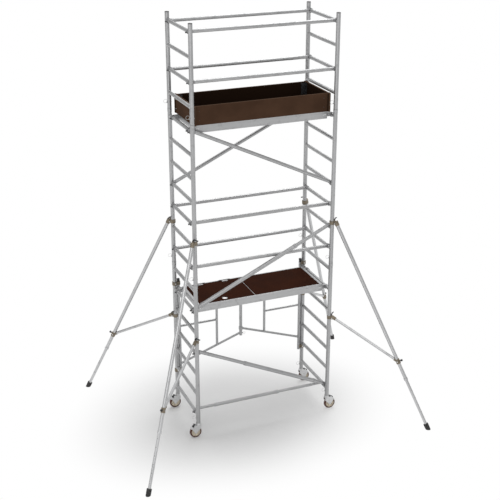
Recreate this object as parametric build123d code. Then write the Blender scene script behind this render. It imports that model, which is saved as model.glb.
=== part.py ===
from build123d import *
import math
import os

# Mobile aluminium tower scaffold, all sizes in millimetres.
# The origin is on the floor at the centre of the tower, +Z is up, the long side runs along X
# and the folding base frame is on the +Y side.

# Driving dimensions of the tower
RUNG_PITCH = 280.0
FIRST_RUNG_Z = 310.0
FRAME_RUNGS = {"base": (0, 7), "mid": (7, 7), "top": (14, 4)}
LEG_X = 893.0
LEG_Y = 396.0
LEG_RADIUS = 25.4
LEG_WALL = 2.2
RUNG_RADIUS = 21.0
RUNG_WALL = 2.0
STUB_ABOVE_TOP_RUNG = 90.0
LEG_FOOT_Z = 200.0
RUNNING_GAP = 0.3

SIDES = {"left": -1, "right": 1}
CORNERS = {"nl": (-1, -1), "nr": (1, -1), "rl": (-1, 1), "rr": (1, 1)}

# Spigots and spring clips at the frame joints
SPIGOT_BELOW = 80.0
SPIGOT_ABOVE = 130.0
SPIGOT_GAP = 0.2
SPIGOT_WALL = 3.0
CLIP_ABOVE_JOINT = 70.0
CLIP_RADIUS = 4.0
CLIP_HOLE_GAP = 0.05
CLIP_HEAD_RADIUS = 7.0
CLIP_RING_RADIUS = 22.0
CLIP_WIRE_RADIUS = 1.6

# Guard rails and braces, hooked on the rungs beside the legs
BRACE_Y = 347.0
INNER_BRACE_Y = 299.0
RAIL_RADIUS = 21.0
BRACE_RADIUS = 21.5
BASE_BRACE_RADIUS = 18.0
SLEEVE_WALL = 3.5
LOWER_SLEEVE = (0.04, 0.74)
DIAGONAL_SLEEVE = (0.37, 0.92)
BASE_SLEEVE = (0.14, 0.62)
COLLAR_EXTRA = 2.5
COLLAR_LENGTH = 34.0
TUBE_WALL = 2.0
BRACE_LIFT = 10.0
LOW_BRACE_LIFT = 30.0
CLAW_RADIUS = 29.0
CLAW_WIDTH = 28.0
CLAW_MOUTH = 8.0
LATCH_TAB = (26.0, 39.0)
LATCH_TAB_HALF = 9.0
LATCH_TAB_DROP = 14.0
LATCH_GAP = 2.0
CLAW_REACH = 52.0
CLAW_SHANK = 44.0
CLAW_PLUG = 30.0
CLAW_GAP = 0.1
UPPER_RAIL_RUNGS = (17, 15)
LOWER_RAIL_RUNGS = (9, 7)

# Platforms
DECK_RUNGS = {"lower": 5, "upper": 13}
DECK_HALF_LENGTH = 830.0
DECK_HALF_WIDTH = 300.0
BEAM_WIDTH = 30.0
BEAM_WALL = 3.0
BEAM_TOP = 50.0
BEAM_BOTTOM = -42.0
LIP_WIDTH = 15.0
PLY_THICKNESS = 12.0
PLY_TOP = 48.0
PLY_GAP = 2.0
END_BEAM_WIDTH = 45.0
END_BEAM_BOTTOM = -22.0
SEAM_X = -76.0
CROSS_BEAMS_X = (-76.0, 220.0, 510.0)
CROSS_BEAM_WIDTH = 40.0
CROSS_BEAM_HEIGHT = 40.0
CROSS_BEAM_WALL = 3.0
HATCH_HINGES_X = (-606.0, -270.0)
HINGE_Y = 288.0
HINGE_Z = 55.5
HINGE_LENGTH = 150.0
HINGE_LEAF_LENGTH = 80.0
HINGE_LEAF_DEPTH = 42.0
HINGE_LEAF_THICKNESS = 5.0
HINGE_LEAF_GAP = 3.5
KNUCKLE_GAP = 0.5
KNUCKLE_SEAT = 2.0
HINGE_PIN_RADIUS = 3.0
HINGE_BARREL_RADIUS = 5.0
FINGER_HOLE = (-451.0, -208.5)
FINGER_HOLE_RADIUS = 36.0
HOOK_WIDTH = 26.0
HOOK_ARM = (-18.0, 30.0)
HOOK_TONGUE = 50.0

# Toe boards of the upper platform
BOARD_THICKNESS = 25.0
BOARD_HEIGHT = 220.0
BOARD_Y = 306.0
BOARD_X = 837.0
BOARD_END_X = 858.0
BOARD_END_Y = 345.0
BOARD_GAP = 0.3

# Folding base frame between the rear legs
POST_X = 845.0
POST_RADIUS = 19.0
POST_BOTTOM = 500.0
POST_TOP = 1790.0
CENTRE_POST_RADIUS = 20.0
CENTRE_POST_BOTTOM = 876.0
LEAF_MID_Z = 1165.0
LEAF_RAIL_RADIUS = 14.5
LEAF_BAR_X = 335.0
LEAF_BAR_RADIUS = 16.0
LEAF_DROP = {"left": (915.0, 622.0), "right": (980.0, 683.0)}
LEAF_SLEEVE_RADIUS = 27.0
LEAF_SLEEVE_HEIGHT = 40.0
LEAF_KNOB = ((16.0, 10.0), (44.0, 18.0))
COUPLER_LEVELS = (545.0, 1775.0)
COUPLER_HEIGHT = 44.0
COUPLER_WALL = 6.5
LOCK_PIN_Z = 905.0
LOCK_PIN_ENDS = (-12.0, 34.0)
LOCK_PIN_HEAD = 8.0
LOCK_RING_RADIUS = 16.0

# Castors
WHEEL_RADIUS = 75.0
TREAD_WIDTH = 38.0
TYRE_INNER_RADIUS = 57.0
HUB_RADIUS = 18.0
HUB_WIDTH = 44.0
WEB_WIDTH = 14.0
AXLE_RADIUS = 6.0
FIT_GAP = 0.05
TRAIL = 40.0
FORK_GAP_HALF = 23.0
FORK_PLATE = 4.0
FORK_TOP = 168.0
CROWN = (-30.0, 34.0)
CROWN_THICKNESS = 8.0
CHEEK_OUTLINE = ((-30.0, 168.0), (-30.0, 128.0), (22.0, 72.0), (58.0, 72.0), (86.0, 118.0), (98.0, 133.0))
BRAKE_LUGS = ((81.0, 146.0), (62.0, 158.0), (62.0, 176.0), (40.0, 176.0), (34.0, 168.0))
HOOD_RADII = (80.0, 83.0)
HOOD_ANGLES = (40.0, 112.0)
CHEEK_BOSS_RADIUS = 18.0
AXLE_NUT = (10.0, 7.0)
AXLE_HALF = 36.0
HEAD_RADIUS = 30.0
HEAD_TOP = 186.0
KINGPIN_RADIUS = 8.0
KINGPIN_BOTTOM = 172.0
STEM_TOP = 330.0
STEM_GAP = 0.3
BRAKE_PIVOT = (50.0, 166.0)
BRAKE_PIN_RADIUS = 4.0
PEDAL_OUTLINE = ((0.0, -5.0), (16.0, -8.0), (33.0, -13.0), (35.0, -7.0), (18.0, -1.0), (0.0, 6.0))
PEDAL_WIDTH = 30.0
PEDAL_BARREL = (7.0, 32.0)

# Stabilisers
STAB_TOP_Z = 2615.0
STAB_LOW_Z = 1330.0
STAB_OFFSET = 56.0
STAB_REACH = 1366.0
STAB_JUNCTION = 0.662
STAB_OUTER_END = 0.744
STAB_OUTER_RADIUS = 22.0
STAB_STRUT_RADIUS = 17.0
STAB_INNER_RADIUS = 18.5
STAB_INNER_OVERLAP = 700.0
STAB_CUFF_WALL = 6.0
STAB_CUFF_HALF = 30.0
STAB_SOCKET_WALL = 5.0
STAB_SOCKET = (-22.0, 34.0)
STAB_END_COLLAR = (30.0, 4.0)
KNOB_STEM = (12.0, 6.0)
KNOB_HEAD = (34.0, 13.0)
LEVER_X = 34.0
LEVER_RISE = 46.0
LEVER_PATH = ((-8.0, 46.0), (30.0, 54.0), (62.0, 46.0))
LEVER_RADIUS = 7.0
LEVER_STEM_RADIUS = 6.0
STAB_FOOT_RADIUS = 30.0
STAB_FOOT_LENGTH = 78.0

os.makedirs("parts", exist_ok=True)


def rung_z(index):
    """Height of a rung's axis, counted from 0 at the lowest rung."""
    return FIRST_RUNG_Z + index * RUNG_PITCH


def frame_span(level):
    """Lowest and highest point of a frame's legs."""
    first, count = FRAME_RUNGS[level]
    top = rung_z(first + count - 1) + STUB_ABOVE_TOP_RUNG
    bottom = LEG_FOOT_Z if level == "base" else rung_z(first - 1) + STUB_ABOVE_TOP_RUNG
    return bottom, top


def rod(start, end, radius):
    """A solid round bar between two points."""
    start, end = Vector(*start), Vector(*end)
    along = end - start
    bar = Cylinder(radius, along.length, align=(Align.CENTER, Align.CENTER, Align.MIN))
    return Plane(origin=start, z_dir=along) * bar


def tube(start, end, radius, wall):
    """An open round tube between two points."""
    start, end = Vector(*start), Vector(*end)
    extra = (end - start).normalized() * 5
    return rod(start, end, radius) - rod(start - extra, end + extra, radius - wall)


def block(low, high):
    """A box between two opposite corners."""
    size = [h - l for l, h in zip(low, high)]
    return Pos(*low) * Box(*size, align=(Align.MIN, Align.MIN, Align.MIN))


def block_between(x1, x2, y1, y2, z1, z2):
    """A box between two values on each axis, in either order."""
    low = (min(x1, x2), min(y1, y2), min(z1, z2))
    high = (max(x1, x2), max(y1, y2), max(z1, z2))
    return block(low, high)


def plate_xz(points, y_low, y_high):
    """A flat plate with its outline in X and Z, between two values of Y."""
    outline = make_face(Polyline(*[(x, 0, z) for x, z in points], close=True))
    return Pos(0, y_low, 0) * extrude(outline, amount=y_high - y_low, dir=(0, 1, 0))


def ring(centre, axis, outer, inner, height):
    """A collar centred on a point."""
    half = Vector(*axis).normalized() * (height / 2)
    start, end = Vector(*centre) - half, Vector(*centre) + half
    return rod(start, end, outer) - rod(start - half, end + half, inner)


def wire_ring(centre, axis, radius, wire):
    """A closed ring of round wire."""
    return Plane(origin=centre, z_dir=axis) * Torus(radius, wire)


def save(name, solids):
    """Writes one node, a single solid or a group of separate ones."""
    pieces = []
    for item in solids:
        pieces.extend(item.solids())
    body = pieces[0] if len(pieces) == 1 else Compound(children=pieces)
    body.label = name
    export_step(body, f"parts/{name}.step")
    print(name, len(pieces))


def leg_joints():
    """Heights of the two joints between the frames."""
    return [frame_span(level)[0] for level in ("mid", "top")]


def clip_holes(x, y):
    """Drillings for the spring clips and castor pins of one leg."""
    levels = [z + CLIP_ABOVE_JOINT for z in leg_joints()] + [castor_pin_z()]
    reach = LEG_RADIUS + 10
    return [rod((x - reach, y, z), (x + reach, y, z), CLIP_RADIUS + CLIP_HOLE_GAP) for z in levels]


def castor_pin_z():
    return LEG_FOOT_Z + 65.0


def make_frames():
    """Six ladder frames: two legs and their rungs, with spigots in the top of the lower ones."""
    for level, (first, count) in FRAME_RUNGS.items():
        bottom, top = frame_span(level)
        for side, sx in SIDES.items():
            x = sx * LEG_X
            solids = []
            for y in (-LEG_Y, LEG_Y):
                leg = tube((x, y, bottom), (x, y, top), LEG_RADIUS, LEG_WALL)
                for hole in clip_holes(x, y):
                    leg -= hole
                solids.append(leg)
                if level == "top":
                    continue
                radius = LEG_RADIUS - LEG_WALL - SPIGOT_GAP
                spigot = tube((x, y, top - SPIGOT_BELOW), (x, y, top + SPIGOT_ABOVE), radius, SPIGOT_WALL)
                for hole in clip_holes(x, y):
                    spigot -= hole
                solids.append(spigot)
            for index in range(first, first + count):
                z = rung_z(index)
                rung = tube((x, -LEG_Y, z), (x, LEG_Y, z), RUNG_RADIUS, RUNG_WALL)
                for y in (-LEG_Y, LEG_Y):
                    rung -= rod((x, y, z - 60), (x, y, z + 60), LEG_RADIUS)
                solids.append(rung)
            save(f"{level}_frame_{side}", solids)


def make_leg_plugs():
    """Plastic plugs in the top ends of the legs."""
    top = frame_span("top")[1]
    plugs = []
    for sx, sy in CORNERS.values():
        x, y = sx * LEG_X, sy * LEG_Y
        head = Pos(x, y, top + 3) * Cylinder(LEG_RADIUS, 6)
        head = fillet(head.edges().sort_by(Axis.Z)[-1:], 2)
        plug = rod((x, y, top - 30), (x, y, top), LEG_RADIUS - LEG_WALL - SPIGOT_GAP)
        plugs.append(head + plug)
    save("leg_end_plugs", plugs)


def make_clips():
    """Spring clips at the frame joints and castor stems: a pin bent into a wire ring on its -X side."""
    solids = []
    for sx, sy in CORNERS.values():
        x, y = sx * LEG_X, sy * LEG_Y
        for z in [joint + CLIP_ABOVE_JOINT for joint in leg_joints()] + [castor_pin_z()]:
            head_x = x - LEG_RADIUS - 12
            pin = rod((head_x, y, z), (x + LEG_RADIUS + 4, y, z), CLIP_RADIUS)
            pin += rod((head_x, y, z), (head_x + 9, y, z), CLIP_HEAD_RADIUS)
            eye = (head_x - CLIP_RING_RADIUS * 0.6, y, z + CLIP_RING_RADIUS * 0.7)
            solids.append(pin + wire_ring(eye, (0, 1, 0), CLIP_RING_RADIUS, CLIP_WIRE_RADIUS))
    save("locking_clips", solids)


def tube_end(sx, y, z, lift, direction):
    """Where the tube on a claw begins; lift is how far its axis passes above the rung's."""
    return Vector(sx * LEG_X, y, z + lift) + direction * CLAW_REACH


def claw(sx, y, z, lift, direction, tube_radius):
    """A hook over a rung with its shank in the end of a tube, and the latch that closes it.

    direction points from the rung along the tube."""
    x = sx * LEG_X
    y_low, y_high = y - CLAW_WIDTH / 2, y + CLAW_WIDTH / 2
    shell = ring((x, y, z), (0, 1, 0), CLAW_RADIUS, RUNG_RADIUS + CLAW_GAP, CLAW_WIDTH)
    mouth = block_between(x - sx * CLAW_MOUTH, x + sx * 60, y_low - 5, y_high + 5, z - 60, z)
    quadrant = block_between(x, x + sx * 60, y_low - 5, y_high + 5, z - 60, z - LATCH_GAP)
    start = tube_end(sx, y, z, lift, direction)
    shank = rod(start - direction * CLAW_SHANK, start, tube_radius)
    shank += rod(start - direction, start + direction * CLAW_PLUG, tube_radius - TUBE_WALL - CLAW_GAP)
    wall_middle = (RUNG_RADIUS + CLAW_RADIUS) / 2
    shank -= rod((x, y - tube_radius - 5, z), (x, y + tube_radius + 5, z), wall_middle)
    hook = (shell - mouth) + shank
    return [hook, (shell & quadrant) + latch_tab(sx, y, z)]


def latch_tab(sx, y, z):
    """The thumb tab of a latch, below the rung's axis."""
    near, far = LATCH_TAB
    x = sx * LEG_X
    y_low, y_high = y - LATCH_TAB_HALF, y + LATCH_TAB_HALF
    return block_between(x + sx * near, x + sx * far, y_low, y_high, z - LATCH_TAB_DROP, z - LATCH_GAP)


def hooked_tube(y, left_rung, right_rung, radius, lift=0.0, sleeve=None):
    """A rail or brace from a rung of the left frame to one of the right frame, with its claws.

    sleeve gives the two ends of a thicker sliding section, as fractions of the length."""
    z_left, z_right = rung_z(left_rung), rung_z(right_rung)
    direction = (Vector(LEG_X, y, z_right) - Vector(-LEG_X, y, z_left)).normalized()
    start = tube_end(-1, y, z_left, lift, direction)
    end = tube_end(1, y, z_right, lift, direction * -1)
    solids = [tube(start, end, radius, TUBE_WALL)]
    if sleeve:
        a = start + (end - start) * sleeve[0]
        b = start + (end - start) * sleeve[1]
        bore = radius + CLAW_GAP
        sleeve_radius = bore + SLEEVE_WALL
        solids.append(tube(a, b, sleeve_radius, SLEEVE_WALL))
        collar_radius = sleeve_radius + COLLAR_EXTRA
        for at, sign in ((a, -1), (b, 1)):
            collar_end = at + direction * (sign * COLLAR_LENGTH)
            solids.append(tube(at, collar_end, collar_radius, collar_radius - bore))
    claws = claw(-1, y, z_left, lift, direction, radius)
    claws += claw(1, y, z_right, lift, direction * -1, radius)
    return solids, claws


def make_rails_and_braces():
    """Guard rails, diagonal braces and the base brace. All their claws share one node."""
    claws = []
    front, rear, inner = -BRACE_Y, BRACE_Y, -INNER_BRACE_Y
    rails = {
        "guardrails_upper": (UPPER_RAIL_RUNGS, (front, rear)),
        "guardrails_lower": (LOWER_RAIL_RUNGS, (inner, rear)),
    }
    for name, (rungs, sides) in rails.items():
        tubes = []
        for rung in rungs:
            for y in sides:
                solids, hooks = hooked_tube(y, rung, rung, RAIL_RADIUS)
                tubes += solids
                claws += hooks
        save(name, tubes)
    braces = {
        "mid_diagonals": [(front, 13, 10, BRACE_RADIUS, BRACE_LIFT), (rear, 10, 13, BRACE_RADIUS, BRACE_LIFT)],
        "lower_diagonal": [(front, 5, 8, BRACE_RADIUS, LOW_BRACE_LIFT, LOWER_SLEEVE)],
        "base_diagonal": [(front, 3, 0, BRACE_RADIUS, LOW_BRACE_LIFT, DIAGONAL_SLEEVE)],
        "base_brace": [(inner, 0, 0, BASE_BRACE_RADIUS, LOW_BRACE_LIFT, BASE_SLEEVE)],
    }
    for name, runs in braces.items():
        tubes = []
        for run in runs:
            solids, hooks = hooked_tube(*run)
            tubes += solids
            claws += hooks
        save(name, tubes)
    save("brace_claws", claws)


def hinge(x, deck_z):
    """A hatch hinge: the moving leaf with its barrel, and the pin with its two fixed knuckles."""
    z = deck_z + HINGE_Z
    low, high = x - HINGE_LENGTH / 2, x + HINGE_LENGTH / 2
    leaf_low, leaf_high = x - HINGE_LEAF_LENGTH / 2, x + HINGE_LEAF_LENGTH / 2
    leaf_z = deck_z + PLY_TOP
    leaf_y = (HINGE_Y - HINGE_LEAF_DEPTH, HINGE_Y - HINGE_LEAF_GAP)
    leaf = block((leaf_low, leaf_y[0], leaf_z), (leaf_high, leaf_y[1], leaf_z + HINGE_LEAF_THICKNESS))
    leaf += rod((leaf_low, HINGE_Y, z), (leaf_high, HINGE_Y, z), HINGE_BARREL_RADIUS)
    leaf -= rod((low, HINGE_Y, z), (high, HINGE_Y, z), HINGE_PIN_RADIUS + FIT_GAP)
    pin = rod((low, HINGE_Y, z), (high, HINGE_Y, z), HINGE_PIN_RADIUS)
    for start, end in ((low, leaf_low - KNUCKLE_GAP), (leaf_high + KNUCKLE_GAP, high)):
        seat_low = (start, HINGE_Y - KNUCKLE_SEAT, deck_z + BEAM_TOP)
        pin += rod((start, HINGE_Y, z), (end, HINGE_Y, z), HINGE_BARREL_RADIUS)
        pin += block(seat_low, (end, HINGE_Y + HINGE_BARREL_RADIUS, z))
    return leaf, pin


def deck_hook(sx, y, z):
    """A platform hook on a rung, with the bracket that bolts into the end of a side beam, and its latch."""
    x = sx * LEG_X
    low, high = y - HOOK_WIDTH / 2, y + HOOK_WIDTH / 2
    shell = ring((x, y, z), (0, 1, 0), CLAW_RADIUS, RUNG_RADIUS + CLAW_GAP, HOOK_WIDTH)
    mouth = block_between(x - sx * CLAW_MOUTH, x + sx * 60, low - 5, high + 5, z - 60, z)
    arm_low, arm_high = z + HOOK_ARM[0], z + HOOK_ARM[1]
    arm = block_between(sx * DECK_HALF_LENGTH, x - sx * 10, low, high, arm_low, arm_high)
    bore = rod((x, low - 5, z), (x, high + 5, z), RUNG_RADIUS + CLAW_GAP)
    tongue_x = sx * (DECK_HALF_LENGTH - HOOK_TONGUE), sx * DECK_HALF_LENGTH
    tongue_y = low + BEAM_WALL, high - BEAM_WALL
    tongue = block_between(*tongue_x, *tongue_y, arm_low + BEAM_WALL, arm_high - BEAM_WALL)
    quadrant = block_between(x, x + sx * 60, low - 5, high + 5, z - 60, z - LATCH_GAP)
    return [(shell - mouth) + (arm - bore) + tongue, (quadrant & shell) + latch_tab(sx, y, z)]


def side_beam(sy, z):
    """A hollow side beam with a rebate for the plywood."""
    outer = sy * DECK_HALF_WIDTH
    inner = sy * (DECK_HALF_WIDTH - BEAM_WIDTH)
    lip = sy * (DECK_HALF_WIDTH - LIP_WIDTH)
    reach = DECK_HALF_LENGTH
    floor_z = z + PLY_TOP - PLY_THICKNESS
    beam = block_between(-reach, reach, inner, outer, z + BEAM_BOTTOM, z + BEAM_TOP)
    beam -= block_between(-reach - 5, reach + 5, inner, lip, floor_z, z + BEAM_TOP + 5)
    wall = sy * BEAM_WALL
    hollow = (inner + wall, outer - wall, z + BEAM_BOTTOM + BEAM_WALL, floor_z - BEAM_WALL)
    beam -= block_between(-reach - 5, reach + 5, *hollow)
    return beam


def end_beam(sx, z):
    """A cross beam at an end of the platform, rebated for the plywood."""
    outer, inner = sx * DECK_HALF_LENGTH, sx * (DECK_HALF_LENGTH - END_BEAM_WIDTH)
    half = DECK_HALF_WIDTH - BEAM_WIDTH
    floor_z = z + PLY_TOP - PLY_THICKNESS
    lip = sx * (DECK_HALF_LENGTH - END_BEAM_WIDTH + LIP_WIDTH)
    beam = block_between(inner, outer, -half, half, z + END_BEAM_BOTTOM, floor_z)
    return beam + block_between(lip, outer, -half - LIP_WIDTH, half + LIP_WIDTH, floor_z, z + BEAM_TOP)


def make_platform(level, rung):
    """A platform: side, end and cross beams, fixed panel, hinged hatch and four hooks."""
    z = rung_z(rung)
    half = DECK_HALF_WIDTH - BEAM_WIDTH
    floor_z = z + PLY_TOP - PLY_THICKNESS
    frame = [side_beam(-1, z), side_beam(1, z), end_beam(-1, z), end_beam(1, z)]
    for x in CROSS_BEAMS_X:
        low, high = x - CROSS_BEAM_WIDTH / 2, x + CROSS_BEAM_WIDTH / 2
        bottom, wall = floor_z - CROSS_BEAM_HEIGHT, CROSS_BEAM_WALL
        cross = block((low, -half, bottom), (high, half, floor_z))
        hollow = block((low + wall, -half - 5, bottom + wall), (high - wall, half + 5, floor_z - wall))
        frame.append(cross - hollow)
    ply_y = DECK_HALF_WIDTH - LIP_WIDTH - PLY_GAP
    ply_x = DECK_HALF_LENGTH - END_BEAM_WIDTH + LIP_WIDTH - PLY_GAP
    ply_z = z + PLY_TOP
    panel = block((SEAM_X + PLY_GAP / 2, -ply_y, floor_z), (ply_x, ply_y, ply_z))
    hatch = block((-ply_x, -ply_y, floor_z), (SEAM_X - PLY_GAP / 2, ply_y, ply_z))
    hatch -= rod((*FINGER_HOLE, floor_z - 5), (*FINGER_HOLE, ply_z + 5), FINGER_HOLE_RADIUS)
    leaves = []
    for x in HATCH_HINGES_X:
        leaf, pin = hinge(x, z)
        leaves.append(leaf)
        frame.append(pin)
    hooks = []
    hook_y = DECK_HALF_WIDTH - BEAM_WIDTH / 2
    for sx, sy in CORNERS.values():
        hooks += deck_hook(sx, sy * hook_y, z)
    save(f"{level}_deck_frame", frame)
    save(f"{level}_deck_panel", [panel])
    save(f"{level}_hatch", [hatch] + leaves)
    save(f"{level}_deck_hooks", hooks)


def make_toe_boards():
    """Four toe boards that halve into each other at the corners and stand on the platform's rims."""
    z = rung_z(DECK_RUNGS["upper"]) + BEAM_TOP
    top, middle = z + BOARD_HEIGHT, z + BOARD_HEIGHT / 2
    half = BOARD_THICKNESS / 2
    slot = half + BOARD_GAP
    for name, sy in (("front", -1), ("rear", 1)):
        y = sy * BOARD_Y
        board = block((-BOARD_END_X, y - half, z), (BOARD_END_X, y + half, top))
        for x in (-BOARD_X, BOARD_X):
            board -= block((x - slot, y - 20, middle), (x + slot, y + 20, top + 5))
        save(f"toe_board_{name}", [board])
    for name, sx in SIDES.items():
        x = sx * BOARD_X
        board = block((x - half, -BOARD_END_Y, z), (x + half, BOARD_END_Y, top))
        for y in (-BOARD_Y, BOARD_Y):
            board -= block((x - 20, y - slot, z - 5), (x + 20, y + slot, middle + BOARD_GAP))
        save(f"toe_board_{name}", [board])


def make_leaf(name, sx):
    """One leaf of the folding base frame: its outer post, a bar and three pairs of rails.

    The left leaf carries the centre post, the right one turns on it with two sleeves."""
    y = LEG_Y
    post = (sx * POST_X, y)
    bar_x = sx * LEAF_BAR_X
    centre_z, post_z = LEAF_DROP[name]
    solids = [tube((*post, POST_BOTTOM), (*post, POST_TOP), POST_RADIUS, TUBE_WALL)]
    centre_top = 2 * LEAF_MID_Z - CENTRE_POST_BOTTOM
    centre = rod((0, y, CENTRE_POST_BOTTOM - 10), (0, y, centre_top + 10), CENTRE_POST_RADIUS)
    post_core = rod((*post, POST_BOTTOM), (*post, POST_TOP), POST_RADIUS)
    bar_core = rod((bar_x, y, POST_BOTTOM), (bar_x, y, POST_TOP), LEAF_BAR_RADIUS)
    rails = []
    for flip in (-1, 1):
        inner_z = LEAF_MID_Z + flip * (LEAF_MID_Z - centre_z)
        outer_z = LEAF_MID_Z + flip * (LEAF_MID_Z - post_z)
        rail = tube((0, y, inner_z), (*post, outer_z), LEAF_RAIL_RADIUS, TUBE_WALL) - post_core
        core = rod((0, y, inner_z), (*post, outer_z), LEAF_RAIL_RADIUS)
        if name == "left":
            rails.append((rail - centre, core))
            continue
        sleeve_bore = CENTRE_POST_RADIUS + RUNNING_GAP
        sleeve = ring((0, y, inner_z), (0, 0, 1), LEAF_SLEEVE_RADIUS, sleeve_bore, LEAF_SLEEVE_HEIGHT)
        sleeve_core = rod((0, y, inner_z - 25), (0, y, inner_z + 25), LEAF_SLEEVE_RADIUS)
        rails.append((rail - sleeve_core, core))
        solids.append(sleeve)
    mid_rail = tube((bar_x, y, LEAF_MID_Z), (*post, LEAF_MID_Z), LEAF_RAIL_RADIUS, TUBE_WALL)
    solids.append(mid_rail - post_core - bar_core)
    bar_mid = centre_z + (post_z - centre_z) * LEAF_BAR_X / POST_X
    bar = tube((bar_x, y, bar_mid), (bar_x, y, 2 * LEAF_MID_Z - bar_mid), LEAF_BAR_RADIUS, TUBE_WALL)
    for rail, core in rails:
        solids.append(rail)
        bar -= core
    bar_pieces = bar.solids().sort_by(SortBy.VOLUME)
    solids.append(bar_pieces[-1])
    if name == "left":
        centre_tube = tube((0, y, CENTRE_POST_BOTTOM), (0, y, centre_top), CENTRE_POST_RADIUS, TUBE_WALL)
        solids.append(centre_tube - rod((-30, y, LOCK_PIN_Z), (30, y, LOCK_PIN_Z), CLIP_RADIUS + FIT_GAP))
    (neck_top, neck_radius), (knob_top, knob_radius) = LEAF_KNOB
    knob = rod((*post, POST_TOP), (*post, POST_TOP + neck_top), neck_radius)
    knob += rod((*post, POST_TOP + neck_top), (*post, POST_TOP + knob_top), knob_radius)
    solids.append(knob)
    save(f"rear_leaf_{name}", solids)


def make_leaf_couplers():
    """Couplers from the rear legs to the leaf posts: closed on the left, half open on the right."""
    couplers = []
    for sx in SIDES.values():
        for z in COUPLER_LEVELS:
            leg, post = (sx * LEG_X, LEG_Y), (sx * POST_X, LEG_Y)
            low, high = z - COUPLER_HEIGHT / 2, z + COUPLER_HEIGHT / 2
            body = rod((*leg, low), (*leg, high), LEG_RADIUS + COUPLER_WALL)
            body += rod((*post, low), (*post, high), POST_RADIUS + COUPLER_WALL)
            body -= rod((*leg, low - 5), (*leg, high + 5), LEG_RADIUS)
            body -= rod((*post, low - 5), (*post, high + 5), POST_RADIUS + RUNNING_GAP)
            if sx > 0:
                body -= block((post[0] - 60, LEG_Y - 60, low - 5), (post[0], LEG_Y + 60, high + 5))
            couplers.append(body)
    save("rear_couplers", couplers)


def make_lock_pin():
    """The pull pin in the foot of the centre post, with its ring."""
    start, end = LOCK_PIN_ENDS
    pin = rod((start, LEG_Y, LOCK_PIN_Z), (end, LEG_Y, LOCK_PIN_Z), CLIP_RADIUS)
    pin += rod((end - LOCK_PIN_HEAD, LEG_Y, LOCK_PIN_Z), (end, LEG_Y, LOCK_PIN_Z), CLIP_HEAD_RADIUS)
    ring_centre = (end + LOCK_RING_RADIUS * 0.8, LEG_Y, LOCK_PIN_Z - LOCK_RING_RADIUS * 0.4)
    pin += wire_ring(ring_centre, (0, 1, 0), LOCK_RING_RADIUS, CLIP_WIRE_RADIUS)
    save("centre_lock_pin", [pin])


def turned(half_profile):
    """A wheel turned about Y from one half of its section, as pairs of radius and half width."""
    mirrored = [(r, -w) for r, w in reversed(half_profile)]
    return revolve(make_face(Polyline(*[(r, w, 0) for r, w in half_profile + mirrored], close=True)), Axis.Y)


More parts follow.
